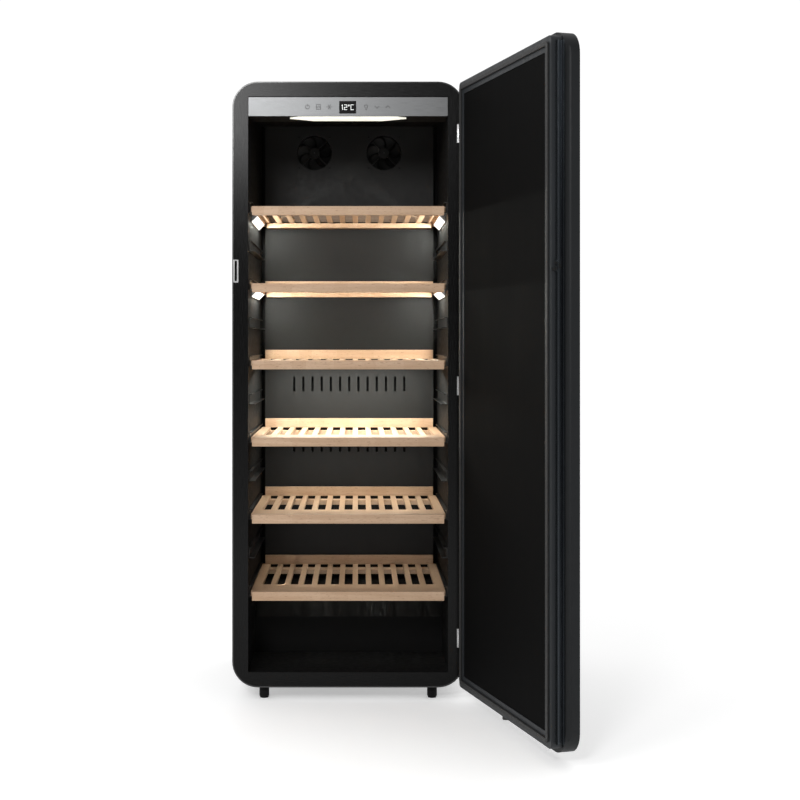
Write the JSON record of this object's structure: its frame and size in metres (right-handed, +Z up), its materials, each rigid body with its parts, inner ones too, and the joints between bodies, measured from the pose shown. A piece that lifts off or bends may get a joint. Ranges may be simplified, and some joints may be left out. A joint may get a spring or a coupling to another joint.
{
  "type": "wine cooler",
  "caption": "Tall free-standing wine cooler with rounded corners, a right-hinged insulated door, sliding wooden shelves, ducted fans and LED lamps.",
  "frame": {"origin": "on the floor, under the centre of the cabinet", "axes": "+Z up, the front faces -Y, +X is the viewer's right, the hinge side"},
  "size_m": [0.9424, 1.3069, 1.876],
  "materials": {
    "outer_wrapper": "satin",
    "base_plate": "matte",
    "front_frame": "satin",
    "rear_sheet": "matte",
    "insulation_walls": "matte",
    "insulation_floor": "matte",
    "insulation_step": "matte",
    "insulation_rear": "matte",
    "liner_sides": "satin",
    "liner_ceiling": "satin",
    "liner_floor": "satin",
    "liner_step": "satin",
    "liner_rear": "satin",
    "air_panel": "satin",
    "fan_frames": "satin",
    "fan_motors": "satin",
    "fan_screws": "satin",
    "fan_rotor_left": "satin",
    "fan_rotor_right": "satin",
    "evaporator": "satin",
    "compressor": "gloss",
    "compressor_mounts": "matte",
    "drip_pan": "matte",
    "condenser": "satin",
    "rear_grille": "matte",
    "power_inlet": "matte",
    "control_panel": "satin",
    "control_housing": "satin",
    "display_window": "gloss",
    "display_digits": "gloss",
    "touch_icons": "satin",
    "control_board": "satin",
    "ceiling_lamp_lens": "satin",
    "side_lamp_housings": "satin",
    "side_lamp_lenses": "satin",
    "shelf_rails": "satin",
    "rail_end_caps": "matte",
    "strike_plate": "satin",
    "hinge_leaves_cabinet": "polished",
    "hinge_pins": "polished",
    "foot_plates": "matte",
    "rear_feet": "matte",
    "foot_front_left": "matte",
    "foot_front_right": "matte",
    "door_shell": "satin",
    "door_frame": "satin",
    "door_inner_panel": "matte",
    "door_core": "matte",
    "door_gasket": "matte",
    "grip_upper": "satin",
    "grip_lower": "satin",
    "hinge_leaves_door": "satin",
    "door_glide": "matte",
    "lock_cylinder": "satin",
    "shelf_1": "satin",
    "shelf_2": "satin",
    "shelf_3": "satin",
    "shelf_4": "satin",
    "shelf_5": "satin",
    "shelf_6": "satin"
  },
  "bodies": {
    "cabinet": {"outer_wrapper": "outer_wrapper", "base_plate": "base_plate", "front_frame": "front_frame", "rear_sheet": "rear_sheet", "insulation_walls": "insulation_walls", "insulation_floor": "insulation_floor", "insulation_step": "insulation_step", "insulation_rear": "insulation_rear", "liner_sides": "liner_sides", "liner_ceiling": "liner_ceiling", "liner_floor": "liner_floor", "liner_step": "liner_step", "liner_rear": "liner_rear", "air_panel": "air_panel", "fan_frames": "fan_frames", "fan_motors": "fan_motors", "fan_screws": "fan_screws", "evaporator": "evaporator", "compressor": "compressor", "compressor_mounts": "compressor_mounts", "drip_pan": "drip_pan", "condenser": "condenser", "rear_grille": "rear_grille", "power_inlet": "power_inlet", "control_panel": "control_panel", "control_housing": "control_housing", "display_window": "display_window", "display_digits": "display_digits", "touch_icons": "touch_icons", "control_board": "control_board", "ceiling_lamp_lens": "ceiling_lamp_lens", "side_lamp_housings": "side_lamp_housings", "side_lamp_lenses": "side_lamp_lenses", "shelf_rails": "shelf_rails", "rail_end_caps": "rail_end_caps", "strike_plate": "strike_plate", "hinge_leaves_cabinet": "hinge_leaves_cabinet", "hinge_pins": "hinge_pins", "foot_plates": "foot_plates", "rear_feet": "rear_feet"},
    "fan_left": {"fan_rotor_left": "fan_rotor_left"},
    "fan_right": {"fan_rotor_right": "fan_rotor_right"},
    "foot_left": {"foot_front_left": "foot_front_left"},
    "foot_right": {"foot_front_right": "foot_front_right"},
    "door": {"door_shell": "door_shell", "door_frame": "door_frame", "door_inner_panel": "door_inner_panel", "door_core": "door_core", "door_gasket": "door_gasket", "grip_upper": "grip_upper", "grip_lower": "grip_lower", "hinge_leaves_door": "hinge_leaves_door", "door_glide": "door_glide"},
    "lock": {"lock_cylinder": "lock_cylinder"},
    "shelf_1": {"shelf_1": "shelf_1"},
    "shelf_2": {"shelf_2": "shelf_2"},
    "shelf_3": {"shelf_3": "shelf_3"},
    "shelf_4": {"shelf_4": "shelf_4"},
    "shelf_5": {"shelf_5": "shelf_5"},
    "shelf_6": {"shelf_6": "shelf_6"}
  },
  "joints": [
    {"name": "door_hinge", "type": "hinge", "parent": "cabinet", "child": "door", "pos_m": [0.338, -0.332, 0.951], "axis": [0, 0, 1], "range_deg": [-106.2, 13.8]},
    {"name": "lock_turn", "type": "hinge", "parent": "door", "child": "lock", "pos_m": [0.52592, -0.9824, 1.266], "axis": [0.279, -0.9603, 0], "range_deg": [0, 110]},
    {"name": "fan_left_spin", "type": "hinge", "parent": "cabinet", "child": "fan_left", "pos_m": [-0.119, 0.22, 1.732], "axis": [0, 1, 0], "continuous": true},
    {"name": "fan_right_spin", "type": "hinge", "parent": "cabinet", "child": "fan_right", "pos_m": [0.119, 0.22, 1.732], "axis": [0, 1, 0], "continuous": true},
    {"name": "foot_left_height", "type": "slide", "parent": "cabinet", "child": "foot_left", "axis": [0, 0, 1], "range_m": [-0.012, 0]},
    {"name": "foot_right_height", "type": "slide", "parent": "cabinet", "child": "foot_right", "axis": [0, 0, 1], "range_m": [-0.012, 0]},
    {"name": "shelf_1_slide", "type": "slide", "parent": "cabinet", "child": "shelf_1", "axis": [0, -1, 0], "range_m": [0, 0.3]},
    {"name": "shelf_2_slide", "type": "slide", "parent": "cabinet", "child": "shelf_2", "axis": [0, -1, 0], "range_m": [0, 0.3]},
    {"name": "shelf_3_slide", "type": "slide", "parent": "cabinet", "child": "shelf_3", "axis": [0, -1, 0], "range_m": [0, 0.3]},
    {"name": "shelf_4_slide", "type": "slide", "parent": "cabinet", "child": "shelf_4", "axis": [0, -1, 0], "range_m": [0, 0.3]},
    {"name": "shelf_5_slide", "type": "slide", "parent": "cabinet", "child": "shelf_5", "axis": [0, -1, 0], "range_m": [0, 0.3]},
    {"name": "shelf_6_slide", "type": "slide", "parent": "cabinet", "child": "shelf_6", "axis": [0, -1, 0], "range_m": [0, 0.3]}
  ]
}
